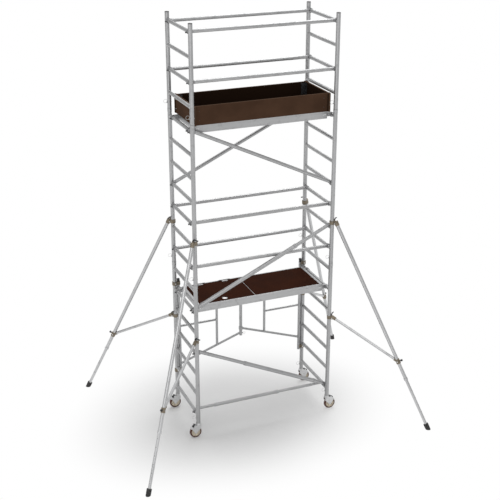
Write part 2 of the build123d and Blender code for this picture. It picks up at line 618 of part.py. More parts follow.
def make_castor(corner, sx, sy):
    """A braked castor that trails away from the tower: fork, wheel and brake pedal."""
    out = sx

    def at(u, y, z):
        return (sx * LEG_X + out * u, sy * LEG_Y + y, z)

    outline = [(sx * LEG_X + out * u, z) for u, z in CHEEK_OUTLINE + BRAKE_LUGS]
    fork = None
    for y in (-FORK_GAP_HALF - FORK_PLATE, FORK_GAP_HALF):
        y_low = sy * LEG_Y + y
        side = plate_xz(outline, y_low, y_low + FORK_PLATE)
        side += rod(at(TRAIL, y, WHEEL_RADIUS), at(TRAIL, y + FORK_PLATE, WHEEL_RADIUS), CHEEK_BOSS_RADIUS)
        side -= rod(at(TRAIL, y - 5, WHEEL_RADIUS), at(TRAIL, y + 10, WHEEL_RADIUS), AXLE_RADIUS)
        fork = side if fork is None else fork + side
    crown_x = sorted(sx * LEG_X + out * u for u in CROWN)
    y_reach = FORK_GAP_HALF + FORK_PLATE
    hood_inner, hood_outer = HOOD_RADII
    hood = ring(at(TRAIL, 0, WHEEL_RADIUS), (0, 1, 0), hood_outer, hood_inner, 2 * y_reach)
    low_angle, high_angle = (math.radians(a) for a in HOOD_ANGLES)
    reach = 2 * hood_outer
    rays = [(0, 0)] + [(reach * math.cos(a), reach * math.sin(a)) for a in (low_angle, high_angle)]
    sector = [(sx * LEG_X + out * (TRAIL + u), WHEEL_RADIUS + w) for u, w in rays]
    fork += hood & plate_xz(sector, sy * LEG_Y - y_reach, sy * LEG_Y + y_reach)
    crown_low = (crown_x[0], sy * LEG_Y - y_reach, FORK_TOP - CROWN_THICKNESS)
    fork += block(crown_low, (crown_x[1], sy * LEG_Y + y_reach, FORK_TOP))
    fork += rod(at(0, 0, FORK_TOP), at(0, 0, HEAD_TOP), HEAD_RADIUS)
    fork -= rod(at(0, 0, KINGPIN_BOTTOM), at(0, 0, HEAD_TOP + 5), KINGPIN_RADIUS + FIT_GAP)
    axle = rod(at(TRAIL, -AXLE_HALF, WHEEL_RADIUS), at(TRAIL, AXLE_HALF, WHEEL_RADIUS), AXLE_RADIUS)
    nut_radius, nut_height = AXLE_NUT
    hexagon = extrude(RegularPolygon(nut_radius, 6), amount=nut_height)
    for y in (-FORK_GAP_HALF - FORK_PLATE - nut_height, FORK_GAP_HALF + FORK_PLATE):
        axle += Plane(origin=at(TRAIL, y, WHEEL_RADIUS), z_dir=(0, 1, 0)) * hexagon
    bu, bz = BRAKE_PIVOT
    brake_pin = rod(at(bu, -FORK_GAP_HALF - 6, bz), at(bu, FORK_GAP_HALF + 6, bz), BRAKE_PIN_RADIUS)
    fork -= rod(at(bu, -40, bz), at(bu, 40, bz), BRAKE_PIN_RADIUS)
    save(f"castor_{corner}_fork", [fork, axle, brake_pin])

    tread, web, flange = TREAD_WIDTH / 2, WEB_WIDTH / 2, TYRE_INNER_RADIUS
    rim = turned([
        (AXLE_RADIUS + FIT_GAP, HUB_WIDTH / 2),
        (HUB_RADIUS, HUB_WIDTH / 2),
        (HUB_RADIUS + 3, web),
        (flange - 8, web),
        (flange - 5, tread - 1),
        (flange, tread - 1),
    ])
    tyre = turned([
        (flange, tread - 1),
        (flange + 3, tread),
        (WHEEL_RADIUS - 5, tread - 1),
        (WHEEL_RADIUS - 1.5, tread - 5),
        (WHEEL_RADIUS, tread - 10),
    ])
    place = Pos(*at(TRAIL, 0, WHEEL_RADIUS))
    save(f"castor_{corner}_wheel", [place * rim, place * tyre])

    barrel_radius, barrel_length = PEDAL_BARREL
    barrel = rod(at(bu, -barrel_length / 2, bz), at(bu, barrel_length / 2, bz), barrel_radius)
    points = [(sx * LEG_X + out * (bu + du), bz + dz) for du, dz in PEDAL_OUTLINE]
    pedal = plate_xz(points, sy * LEG_Y - PEDAL_WIDTH / 2, sy * LEG_Y + PEDAL_WIDTH / 2) + barrel
    pedal -= rod(at(bu, -30, bz), at(bu, 30, bz), BRAKE_PIN_RADIUS + FIT_GAP)
    save(f"castor_{corner}_brake", [pedal])


def make_castor_stems():
    """Castor stems in the feet of the legs, each with its flange and kingpin."""
    stems = []
    for sx, sy in CORNERS.values():
        x, y = sx * LEG_X, sy * LEG_Y
        stem = rod((x, y, LEG_FOOT_Z), (x, y, STEM_TOP), LEG_RADIUS - LEG_WALL - STEM_GAP)
        stem += rod((x, y, HEAD_TOP), (x, y, LEG_FOOT_Z), LEG_RADIUS + 4)
        stem += rod((x, y, KINGPIN_BOTTOM + 2), (x, y, HEAD_TOP), KINGPIN_RADIUS)
        stem -= clip_holes(x, y)[-1]
        stems.append(stem)
    save("castor_stems", stems)


def coupler(z, wall, tube_start, tube_dir, radius):
    """A coupler on a leg that holds the end of a tube, in the stabiliser's own upright plane."""
    half = COUPLER_HEIGHT / 2
    body = rod((0, 0, z - half), (0, 0, z + half), LEG_RADIUS + RUNNING_GAP + wall)
    body += block((20, -15, z - half), (STAB_OFFSET, 15, z + half))
    socket_start, socket_end = (tube_start + tube_dir * u for u in STAB_SOCKET)
    body += rod(socket_start, socket_end, radius + STAB_SOCKET_WALL)
    body -= rod((0, 0, z - 80), (0, 0, z + 80), LEG_RADIUS + RUNNING_GAP)
    body -= rod(tube_start, tube_start + tube_dir * 60, radius)
    return body - rod((LEVER_X, 0, z), (LEVER_X, 0, z + 80), LEVER_STEM_RADIUS)


def lever(z):
    """A clamping lever that stands in the top of a coupler and curves off to one side."""
    handle = rod((LEVER_X, 0, z), (LEVER_X, 0, z + LEVER_RISE), LEVER_STEM_RADIUS)
    start, bend, end = [(LEVER_X, y, z + dz) for y, dz in LEVER_PATH]
    handle += rod(start, bend, LEVER_RADIUS) + rod(bend, end, LEVER_RADIUS)
    return handle + Pos(*bend) * Sphere(LEVER_RADIUS)


def make_stabiliser(corner, sx, sy):
    """A telescopic stabiliser at 45 degrees from a corner: arm, couplers, sliding leg and foot."""
    top = Vector(STAB_OFFSET, 0, STAB_TOP_Z)
    foot = Vector(STAB_REACH, 0, 0)
    along = (foot - top).normalized()
    length = (foot - top).length
    junction = top + along * (length * STAB_JUNCTION)
    outer_end = top + along * (length * STAB_OUTER_END)
    low_start = Vector(STAB_OFFSET, 0, STAB_LOW_Z)
    strut_dir = (junction - low_start).normalized()
    outer = tube(top, outer_end, STAB_OUTER_RADIUS, TUBE_WALL)
    strut = tube(low_start, junction, STAB_STRUT_RADIUS, TUBE_WALL)
    strut -= rod(junction - along * 90, junction + along * 90, STAB_OUTER_RADIUS + STAB_CUFF_WALL)

    upper = coupler(STAB_TOP_Z, 8, top, along, STAB_OUTER_RADIUS)
    lower = coupler(STAB_LOW_Z, 3, low_start, strut_dir, STAB_STRUT_RADIUS)
    cuff_radius = STAB_OUTER_RADIUS + STAB_CUFF_WALL
    cuff_core = rod(junction - along * 90, junction + along * 90, cuff_radius)
    cuff = rod(junction - along * STAB_CUFF_HALF, junction + along * STAB_CUFF_HALF, cuff_radius)
    strut_end = junction - strut_dir * cuff_radius
    cuff += rod(strut_end - strut_dir * 26, junction, STAB_STRUT_RADIUS + STAB_SOCKET_WALL)
    cuff -= rod(junction - along * 90, junction + along * 90, STAB_OUTER_RADIUS)
    cuff -= rod(low_start, junction, STAB_STRUT_RADIUS) - cuff_core
    collar_length, collar_wall = STAB_END_COLLAR
    collar_radius = STAB_OUTER_RADIUS + collar_wall
    bore_radius = STAB_INNER_RADIUS + RUNNING_GAP
    collar = tube(outer_end, outer_end + along * collar_length, collar_radius, collar_radius - bore_radius)
    outward = Vector(-along.Z, 0, along.X)
    knob_base = junction + outward * cuff_radius
    (stem_length, stem_radius), (head_length, head_radius) = KNOB_STEM, KNOB_HEAD
    knob = rod(knob_base, knob_base + outward * stem_length, stem_radius)
    knob += rod(knob_base + outward * stem_length, knob_base + outward * head_length, head_radius)
    knob -= cuff_core
    levers = [lever(STAB_TOP_Z), lever(STAB_LOW_Z), knob]

    boot_top = foot - along * STAB_FOOT_LENGTH
    tip = foot - along * 22
    inner_start = outer_end - along * STAB_INNER_OVERLAP
    inner = tube(inner_start, tip, STAB_INNER_RADIUS, TUBE_WALL)
    boot = rod(boot_top, foot + along * 60, STAB_FOOT_RADIUS)
    boot -= block((0, -200, -200), (2000, 200, 0))
    boot -= rod(boot_top - along * 5, tip, STAB_INNER_RADIUS)
    angle = math.degrees(math.atan2(sy, sx))
    place = Pos(sx * LEG_X, sy * LEG_Y, 0) * Rot(0, 0, angle)
    save(f"stabiliser_{corner}_arm", [place * s for s in (outer, strut, collar)])
    save(f"stabiliser_{corner}_couplers", [place * s for s in (upper, lower, cuff, *levers)])
    save(f"stabiliser_{corner}_leg", [place * inner])
    save(f"stabiliser_{corner}_foot", [place * boot])


make_frames()
make_leg_plugs()
make_clips()
make_rails_and_braces()
for deck_level, deck_rung in DECK_RUNGS.items():
    make_platform(deck_level, deck_rung)
make_toe_boards()
make_leaf("left", -1)
make_leaf("right", 1)
make_leaf_couplers()
make_lock_pin()
make_castor_stems()
for corner_name, (side_x, side_y) in CORNERS.items():
    make_castor(corner_name, side_x, side_y)
    make_stabiliser(corner_name, side_x, side_y)
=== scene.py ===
import math

import bmesh
import bpy
from mathutils import Matrix, Vector


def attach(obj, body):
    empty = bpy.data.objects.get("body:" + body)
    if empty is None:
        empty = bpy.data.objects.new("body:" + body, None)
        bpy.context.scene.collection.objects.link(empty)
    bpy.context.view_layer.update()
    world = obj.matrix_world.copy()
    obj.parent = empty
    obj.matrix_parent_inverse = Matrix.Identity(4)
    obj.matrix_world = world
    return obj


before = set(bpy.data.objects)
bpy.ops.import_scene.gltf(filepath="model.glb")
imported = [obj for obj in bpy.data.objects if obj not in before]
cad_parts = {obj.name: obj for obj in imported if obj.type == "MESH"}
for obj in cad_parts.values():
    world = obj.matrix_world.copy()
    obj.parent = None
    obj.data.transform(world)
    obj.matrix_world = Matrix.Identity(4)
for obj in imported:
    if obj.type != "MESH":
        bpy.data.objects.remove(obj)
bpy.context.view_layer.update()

# Driving dimensions of the tower, in metres
LEG_X = 0.893
LEG_Y = 0.396
LEG_RADIUS = 0.0254
RUNG_RADIUS = 0.021
RUNG_PITCH = 0.280
FIRST_RUNG_Z = 0.310
JOINTS_Z = (2.080, 4.040)
DECKS = {"lower": 1.710, "upper": 3.950}
DECK_X = 0.830
DECK_Y = 0.300
SEAM_X = -0.076
BOARD_Z = 4.000
BOARD_TOP = 4.220
BOARD_X = 0.837
BOARD_Y = 0.306
POST_X = 0.845
WHEEL_Z = 0.075
WHEEL_X = LEG_X + 0.040
STAB_REACH = 1.366
STAB_TOP_Z = 2.615
STAB_LOW_Z = 1.330
STAB_OFFSET = 0.056
CORNERS = {"nl": (-1, -1), "nr": (1, -1), "rl": (-1, 1), "rr": (1, 1)}
SIDES = {"left": -1, "right": 1}
BRACE_Y = 0.347
INNER_BRACE_Y = 0.299
FERRULES_X = (0.505, 0.681)
CLAW_HALF_WIDTH = 0.014
HATCH_HINGES_X = (-0.606, -0.270)
HINGE_Y = 0.288
FINGER_HOLE = (-0.451, -0.2085)
FINGER_HOLE_RADIUS = 0.036
PLY_TOP = 0.048
COUPLER_LEVELS = (0.545, 1.775)
TYRE_INNER_RADIUS = 0.057
HUB_RADIUS = 0.017

CAMERA_POSITION = (-4.711, -11.333, 7.307)
CAMERA_YAW = 0.3979
CAMERA_PITCH = 0.3909
CAMERA_ROLL = 0.0026
CAMERA_LENS = 77.1
CAMERA_SHIFT = (-0.0125, -0.0016)


# ---------------------------------------------------------------- materials
class Shader:
    """A node material on a Principled shader, in the object's own coordinates."""

    def __init__(self, name, **constants):
        self.material = bpy.data.materials.new(name)
        self.material.use_nodes = True
        self.tree = self.material.node_tree
        self.bsdf = self.tree.nodes["Principled BSDF"]
        for key, value in constants.items():
            self.bsdf.inputs[key.replace("_", " ")].default_value = value
        place = self.node("ShaderNodeTexCoord")
        self.position = place.outputs["Object"]
        self.x, self.y, self.z = self.split(self.position)
        self.nx, self.ny, self.nz = self.split(place.outputs["Normal"])

    def node(self, kind, **settings):
        made = self.tree.nodes.new(kind)
        for key, value in settings.items():
            setattr(made, key, value)
        return made

    def plug(self, socket, value):
        if isinstance(value, bpy.types.NodeSocket):
            self.tree.links.new(value, socket)
        else:
            socket.default_value = value

    def split(self, vector):
        made = self.node("ShaderNodeSeparateXYZ")
        self.plug(made.inputs[0], vector)
        return made.outputs[0], made.outputs[1], made.outputs[2]

    def join(self, x, y, z):
        made = self.node("ShaderNodeCombineXYZ")
        for socket, value in zip(made.inputs, (x, y, z)):
            self.plug(socket, value)
        return made.outputs[0]

    def math(self, operation, a, b=0.0):
        made = self.node("ShaderNodeMath", operation=operation)
        self.plug(made.inputs[0], a)
        self.plug(made.inputs[1], b)
        return made.outputs[0]

    def stretch(self, x, y, z):
        """The position with each axis scaled, so that a texture runs long along the smallest."""
        scaled = [self.math("MULTIPLY", at, by) for at, by in ((self.x, x), (self.y, y), (self.z, z))]
        return self.join(*scaled)

    def noise(self, vector, scale, detail=2.0):
        made = self.node("ShaderNodeTexNoise")
        self.plug(made.inputs["Vector"], vector)
        made.inputs["Scale"].default_value = scale
        made.inputs["Detail"].default_value = detail
        return made.outputs["Fac"]

    def cells(self, scale):
        made = self.node("ShaderNodeTexVoronoi")
        self.plug(made.inputs["Vector"], self.position)
        made.inputs["Scale"].default_value = scale
        return self.split(made.outputs["Color"])[0]

    def ramp(self, value, low, high, start=0.0, end=1.0):
        made = self.node("ShaderNodeMapRange", interpolation_type="SMOOTHSTEP")
        self.plug(made.inputs["Value"], value)
        for key, number in (("From Min", low), ("From Max", high), ("To Min", start), ("To Max", end)):
            made.inputs[key].default_value = number
        return made.outputs["Result"]

    def mix(self, factor, a, b):
        made = self.node("ShaderNodeMix", data_type="RGBA")
        self.plug(made.inputs[0], factor)
        self.plug(made.inputs[6], a)
        self.plug(made.inputs[7], b)
        return made.outputs[2]

    def blend(self, factor, a, b):
        made = self.node("ShaderNodeMix", data_type="FLOAT")
        self.plug(made.inputs[0], factor)
        self.plug(made.inputs[2], a)
        self.plug(made.inputs[3], b)
        return made.outputs[0]

    def edges(self, radius):
        """1 on edges tighter than the radius, broken up by noise."""
        rounded = self.node("ShaderNodeBevel", samples=4)
        rounded.inputs["Radius"].default_value = radius
        flat = self.node("ShaderNodeNewGeometry")
        dot = self.node("ShaderNodeVectorMath", operation="DOT_PRODUCT")
        self.plug(dot.inputs[0], rounded.outputs["Normal"])
        self.plug(dot.inputs[1], flat.outputs["Normal"])
        edge = self.ramp(dot.outputs["Value"], 0.80, 0.99, 1.0, 0.0)
        return self.math("MULTIPLY", edge, self.ramp(self.noise(self.position, 90.0, 3.0), 0.40, 0.62))

    def finish(self, color, roughness, height, distance, strength=1.0):
        self.plug(self.bsdf.inputs["Base Color"], color)
        self.plug(self.bsdf.inputs["Roughness"], roughness)
        bump = self.node("ShaderNodeBump")
        bump.inputs["Strength"].default_value = strength
        bump.inputs["Distance"].default_value = distance
        self.plug(bump.inputs["Height"], height)
        self.plug(self.bsdf.inputs["Normal"], bump.outputs["Normal"])
        return self.material


def shade(color, factor):
    return tuple(min(1.0, c * factor) for c in color) + (1.0,)


ALUMINIUM = (0.43, 0.432, 0.436)
ACROSS = 420.0
ALONG = 5.0


def grain_vectors(s, grain):
    """Coordinates drawn out along the tubes: a list of one, or of two with the mask between them."""
    if grain == "frame":
        leg = s.ramp(s.math("ABSOLUTE", s.y), LEG_Y - 0.0265, LEG_Y - 0.0245)
        return [s.stretch(ACROSS, ALONG, ACROSS), s.stretch(ACROSS, ACROSS, ALONG)], leg
    if grain == "x":
        return [s.stretch(ALONG, ACROSS, ACROSS)], None
    if grain == "slope":
        rise = s.math("MULTIPLY", s.math("SIGN", s.y), 3 * RUNG_PITCH / (2 * LEG_X))
        level = s.math("SUBTRACT", s.z, s.math("MULTIPLY", s.x, rise))
        scaled = [s.math("MULTIPLY", at, by) for at, by in ((s.x, ALONG), (s.y, ACROSS), (level, ACROSS))]
        return [s.join(*scaled)], None
    if grain == "stabiliser":
        ax = s.math("SUBTRACT", s.math("ABSOLUTE", s.x), LEG_X)
        ay = s.math("SUBTRACT", s.math("ABSOLUTE", s.y), LEG_Y)
        slope = math.sqrt(0.5) * STAB_TOP_Z / (STAB_REACH - STAB_OFFSET)
        reach = s.math("MULTIPLY", s.math("ADD", ax, ay), slope)
        level = s.math("ADD", s.z, reach)
        side = s.math("SUBTRACT", ax, ay)
        scaled = [s.math("MULTIPLY", at, by) for at, by in ((side, ACROSS), (s.z, ALONG), (level, ACROSS / 2))]
        return [s.join(*scaled)], None
    return [s.stretch(ACROSS, ACROSS, ALONG)], None


def aluminium(name, grain, lightness=1.0, black_above=None):
    """Satin extruded aluminium with die lines along the tube, handling marks and a dull film."""
    s = Shader(name, Metallic=1.0)
    vectors, mask = grain_vectors(s, grain)
    streak = s.noise(vectors[0], 1.0, 3.0)
    if mask is not None:
        streak = s.blend(mask, streak, s.noise(vectors[1], 1.0, 3.0))
    cloud = s.noise(s.position, 2.6, 4.0)
    marks = s.ramp(s.noise(s.position, 17.0, 5.0), 0.56, 0.72)
    color = s.mix(s.ramp(cloud, 0.3, 0.7), shade(ALUMINIUM, 0.93 * lightness), shade(ALUMINIUM, 1.06 * lightness))
    color = s.mix(s.ramp(streak, 0.35, 0.75, 0.0, 0.30), color, shade(ALUMINIUM, 0.78 * lightness))
    color = s.mix(s.math("MULTIPLY", marks, 0.30), color, shade(ALUMINIUM, 0.62 * lightness))
    rough = s.math("ADD", s.ramp(cloud, 0.25, 0.75, 0.36, 0.46), s.math("MULTIPLY", marks, 0.12))
    rough = s.math("ADD", rough, s.ramp(streak, 0.3, 0.7, -0.04, 0.04))
    height = s.math("ADD", streak, s.math("MULTIPLY", s.noise(s.position, 700.0), 0.35))
    if grain == "frame":
        turn = s.math("ARCTAN2", rung_offset(s), s.math("SUBTRACT", s.math("ABSOLUTE", s.x), LEG_X))
        ribs = s.math("SINE", s.math("MULTIPLY", turn, 30.0))
        rung = s.math("SUBTRACT", 1.0, mask)
        height = s.math("ADD", height, s.math("MULTIPLY", s.math("MULTIPLY", ribs, rung), 1.2))
    if black_above is not None:
        cap = s.ramp(s.z, black_above - 0.0005, black_above)
        color = s.mix(cap, color, (0.018, 0.018, 0.019, 1.0))
        rough = s.blend(cap, rough, 0.5)
        s.plug(s.bsdf.inputs["Metallic"], s.math("SUBTRACT", 1.0, cap))
    return s.finish(color, rough, height, 0.0003, 0.45)


def rung_offset(s):
    """Height above the axis of the nearest rung."""
    turns = s.math("DIVIDE", s.math("SUBTRACT", s.z, FIRST_RUNG_Z), RUNG_PITCH)
    return s.math("MULTIPLY", s.math("SUBTRACT", turns, s.math("ROUND", turns)), RUNG_PITCH)


def casting(name, color, metallic, worn, roughness=0.5, black=None):
    """A coated or passivated casting: orange-peel surface and rubbed edges.

    black names the black pieces of the same node: the couplers' levers or the hooks' latches."""
    s = Shader(name, Metallic=metallic)
    cloud = s.noise(s.position, 22.0, 4.0)
    edge = s.edges(0.0022)
    made = s.mix(s.ramp(cloud, 0.3, 0.7), shade(color, 0.78), shade(color, 1.22))
    made = s.mix(s.math("MULTIPLY", edge, 0.75), made, worn + (1.0,))
    dull = s.ramp(cloud, 0.25, 0.75, roughness - 0.06, roughness + 0.10)
    rough = s.math("SUBTRACT", dull, s.math("MULTIPLY", edge, 0.16))
    if black == "latches":
        beyond = s.ramp(s.math("ABSOLUTE", s.x), LEG_X - 0.0030, LEG_X - 0.0025)
        dark = s.math("MULTIPLY", beyond, s.ramp(rung_offset(s), -0.0015, -0.0010, 1.0, 0.0))
    if black == "levers":
        low = s.ramp(s.z, STAB_LOW_Z + 0.0335, STAB_LOW_Z + 0.034)
        low = s.math("MULTIPLY", low, s.ramp(s.z, 1.5, 1.51, 1.0, 0.0))
        high = s.ramp(s.z, STAB_TOP_Z + 0.0335, STAB_TOP_Z + 0.034)
        junction = s.ramp(s.z, 1.0, 1.01, 1.0, 0.0)
        reach = s.math("ADD", s.math("ABSOLUTE", s.x), s.math("ABSOLUTE", s.y))
        beyond = s.math("ADD", s.math("MULTIPLY", reach, 0.632), s.math("MULTIPLY", s.z, 0.448))
        along = (STAB_OFFSET * 0.894 + STAB_TOP_Z * 0.448) + 0.632 * (LEG_X + LEG_Y)
        knob = s.math("MULTIPLY", junction, s.ramp(beyond, along + 0.030, along + 0.032))
        dark = s.math("MAXIMUM", s.math("MAXIMUM", low, high), knob)
    if black:
        made = s.mix(dark, made, (0.016, 0.016, 0.017, 1.0))
        rough = s.blend(dark, rough, 0.42)
        s.plug(s.bsdf.inputs["Metallic"], s.math("MULTIPLY", s.math("SUBTRACT", 1.0, dark), metallic))
    height = s.math("ADD", s.noise(s.position, 420.0, 3.0), s.math("MULTIPLY", cloud, 0.8))
    return s.finish(made, rough, height, 0.0004, 0.5)


def zinc(name, lightness=1.0):
    """Zinc-plated pressed steel: faint spangle, dull marks and bright edges."""
    s = Shader(name, Metallic=1.0)
    spangle = s.cells(260.0)
    cloud = s.noise(s.position, 30.0, 4.0)
    edge = s.edges(0.0015)
    color = s.mix(spangle, shade((0.50, 0.505, 0.51), lightness), shade((0.62, 0.62, 0.62), lightness))
    color = s.mix(s.ramp(cloud, 0.52, 0.75, 0.0, 0.5), color, shade((0.36, 0.35, 0.33), lightness))
    color = s.mix(s.math("MULTIPLY", edge, 0.6), color, (0.78, 0.78, 0.78, 1.0))
    rough = s.math("ADD", s.ramp(cloud, 0.3, 0.7, 0.30, 0.44), s.math("MULTIPLY", spangle, 0.06))
    return s.finish(color, rough, s.noise(s.position, 500.0, 2.0), 0.0002, 0.4)


def plastic(name, color, roughness=0.45, dusty=0.25):
    """Moulded plastic or rubber with a fine grain, dust in it and dulled edges."""
    s = Shader(name, Metallic=0.0)
    s.bsdf.inputs["Specular IOR Level"].default_value = 0.45
    cloud = s.noise(s.position, 26.0, 4.0)
    dust = s.ramp(s.noise(s.position, 60.0, 5.0), 0.48, 0.72, 0.0, dusty)
    made = s.mix(s.ramp(cloud, 0.3, 0.7), shade(color, 0.8), shade(color, 1.25))
    made = s.mix(dust, made, (0.16, 0.155, 0.145, 1.0))
    made = s.mix(s.math("MULTIPLY", s.edges(0.0018), 0.4), made, shade(color, 3.0))
    rough = s.math("ADD", s.ramp(cloud, 0.3, 0.7, roughness - 0.06, roughness + 0.08), dust)
    return s.finish(made, rough, s.noise(s.position, 650.0, 2.0), 0.0003, 0.5)


def film_plywood(name, color, flat, sheet=0.0016):
    """Phenolic film on plywood: scuffs and dust on the faces, bare veneers on the narrow edges, and painted
    shade on the toe boards' inward faces.

    flat names the axis across the sheet."""
    s = Shader(name, Metallic=0.0)
    s.bsdf.inputs["Specular IOR Level"].default_value = 0.01
    across = {"x": s.x, "y": s.y, "z": s.z}[flat]
    facing = s.math("ABSOLUTE", {"x": s.nx, "y": s.ny, "z": s.nz}[flat])
    face = s.ramp(facing, 0.45, 0.55)
    cloud = s.noise(s.position, 3.5, 5.0)
    long_marks = {"x": (30.0, 3.0, 30.0), "y": (3.0, 30.0, 30.0), "z": (4.0, 40.0, 40.0)}[flat]
    scuff = s.ramp(s.noise(s.stretch(*long_marks), 1.0, 6.0), 0.60, 0.78)
    film = s.mix(s.ramp(cloud, 0.3, 0.7), shade(color, 0.84), shade(color, 1.16))
    film = s.mix(s.math("MULTIPLY", scuff, 0.16), film, shade(color, 2.2))
    film = s.mix(s.math("MULTIPLY", s.edges(0.002), 0.30), film, (0.11, 0.070, 0.045, 1.0))
    # Painted shade: the inward faces of the toe boards are darkened to 0.30 of the film colour.
    if flat != "z":
        outward = {"x": s.nx, "y": s.ny}[flat]
        inward_painted_shade = s.ramp(s.math("MULTIPLY", s.math("SIGN", across), outward), -0.55, -0.45, 1.0, 0.0)
        film = s.mix(inward_painted_shade, film, shade(color, 0.30))
    veneer = s.math("PINGPONG", s.math("MULTIPLY", across, 1.0 / sheet), 1.0)
    wood = s.mix(s.ramp(veneer, 0.35, 0.65), (0.045, 0.026, 0.017, 1.0), (0.085, 0.054, 0.036, 1.0))
    wood = s.mix(s.ramp(s.noise(s.position, 40.0, 4.0), 0.4, 0.7, 0.0, 0.6), wood, shade(color, 1.4))
    made = s.mix(face, wood, film)
    if flat == "z":
        pitch = 2 * math.pi / 0.0055
        waves = [s.math("SINE", s.math("MULTIPLY", at, pitch)) for at in (s.x, s.y)]
        mesh = s.math("MULTIPLY", *waves)
    else:
        mesh = s.noise(s.position, 180.0, 3.0)
    height = s.math("ADD", s.math("MULTIPLY", mesh, 0.5), s.noise(s.position, 260.0, 3.0))
    rough = s.math("ADD", s.ramp(cloud, 0.3, 0.7, 0.55, 0.66), s.math("MULTIPLY", scuff, 0.15))
    rough = s.blend(face, 0.8, rough)
    if flat == "z":
        low, high = (s.ramp(s.z, deck + PLY_TOP + 0.0001, deck + PLY_TOP + 0.0003) for deck in DECKS.values())
        low = s.math("MULTIPLY", low, s.ramp(s.z, 2.5, 2.6, 1.0, 0.0))
        steel = s.math("MAXIMUM", low, high)
        made = s.mix(steel, made, s.mix(cloud, (0.34, 0.34, 0.345, 1.0), (0.46, 0.46, 0.46, 1.0)))
        rough = s.blend(steel, rough, 0.4)
        s.plug(s.bsdf.inputs["Metallic"], steel)
    return s.finish(made, rough, height, 0.0004, 0.5)


def castor_wheel(name):
    """A brown rubber tyre on a cream rim with a grey hub, told apart by distance from the axle."""
    s = Shader(name, Metallic=0.0)
    s.bsdf.inputs["Specular IOR Level"].default_value = 0.4
    u = s.math("SUBTRACT", s.math("ABSOLUTE", s.x), WHEEL_X)
    w = s.math("SUBTRACT", s.z, WHEEL_Z)
    radius = s.math("SQRT", s.math("ADD", s.math("MULTIPLY", u, u), s.math("MULTIPLY", w, w)))
    tyre = s.ramp(radius, TYRE_INNER_RADIUS - 0.0002, TYRE_INNER_RADIUS + 0.0002)
    hub = s.ramp(radius, HUB_RADIUS, HUB_RADIUS + 0.0004, 1.0, 0.0)
    cloud = s.noise(s.position, 40.0, 4.0)
    cream = s.mix(s.ramp(cloud, 0.3, 0.7), (0.56, 0.50, 0.40, 1.0), (0.66, 0.60, 0.49, 1.0))
    rubber = s.mix(s.ramp(cloud, 0.3, 0.7), (0.055, 0.016, 0.009, 1.0), (0.085, 0.028, 0.017, 1.0))
    scuff = s.ramp(s.noise(s.position, 120.0, 3.0), 0.4, 0.7)
    worn = s.math("MULTIPLY", s.ramp(radius, 0.0735, 0.0749), scuff)
    rubber = s.mix(s.math("MULTIPLY", worn, 0.5), rubber, (0.19, 0.15, 0.12, 1.0))
    # Darker within 4 mm either side of where the tyre meets the rim.
    tyre_join_darkening = s.ramp(s.math("ABSOLUTE", s.math("SUBTRACT", radius, TYRE_INNER_RADIUS)), 0.0, 0.004, 0.45, 0.0)
    made = s.mix(tyre, cream, rubber)
    made = s.mix(hub, made, (0.30, 0.30, 0.31, 1.0))
    made = s.mix(tyre_join_darkening, made, (0.05, 0.03, 0.02, 1.0))
    rough = s.blend(tyre, s.ramp(cloud, 0.3, 0.7, 0.34, 0.46), s.ramp(cloud, 0.3, 0.7, 0.62, 0.78))
    height = s.math("ADD", s.noise(s.position, 300.0, 3.0), s.math("MULTIPLY", worn, 0.8))
    return s.finish(made, rough, height, 0.0003, 0.6)


def studio_floor(name):
    """Floor left pale grey round the tower as a painted pool of shade, turning into the white background
    further out.
    """
    s = Shader(name, Metallic=0.0)
    s.bsdf.inputs["Specular IOR Level"].default_value = 0.1
    # Painted shade: an off-centre, noise-edged pool round the tower where the floor stays grey (0.60) instead
    # of glowing white.
    dx = s.math("ADD", s.x, 0.3)
    dy = s.math("MULTIPLY", s.y, 1.22)
    away = s.math("SQRT", s.math("ADD", s.math("MULTIPLY", dx, dx), s.math("MULTIPLY", dy, dy)))
    drift = s.math("SUBTRACT", s.noise(s.position, 0.35, 1.0), 0.5)
    away = s.math("ADD", away, s.math("MULTIPLY", drift, 0.5))
    painted_shade_falloff = s.ramp(away, 0.6, 2.35)
    color = s.mix(s.noise(s.position, 1.2, 2.0), (0.60, 0.60, 0.60, 1.0), (0.62, 0.62, 0.62, 1.0))
    material = s.finish(color, 0.7, s.noise(s.position, 60.0, 2.0), 0.0002, 0.2)
    glow = s.node("ShaderNodeEmission")
    glow.inputs["Color"].default_value = (1.0, 1.0, 1.0, 1.0)
    glow.inputs["Strength"].default_value = 1.0
    both = s.node("ShaderNodeMixShader")
    s.plug(both.inputs[0], painted_shade_falloff)
    s.plug(both.inputs[1], s.bsdf.outputs[0])
    s.plug(both.inputs[2], glow.outputs[0])
    s.plug(s.tree.nodes["Material Output"].inputs["Surface"], both.outputs[0])
    return material


DECK_BROWN = (0.032, 0.0100, 0.0050)
BOARD_BROWN = (0.058, 0.031, 0.0190)
BLACK = (0.020, 0.020, 0.021)
OLIVE = (0.20, 0.168, 0.125)
OLIVE_WORN = (0.40, 0.37, 0.31)
GREY = (0.34, 0.34, 0.345)
GREY_WORN = (0.60, 0.60, 0.60)

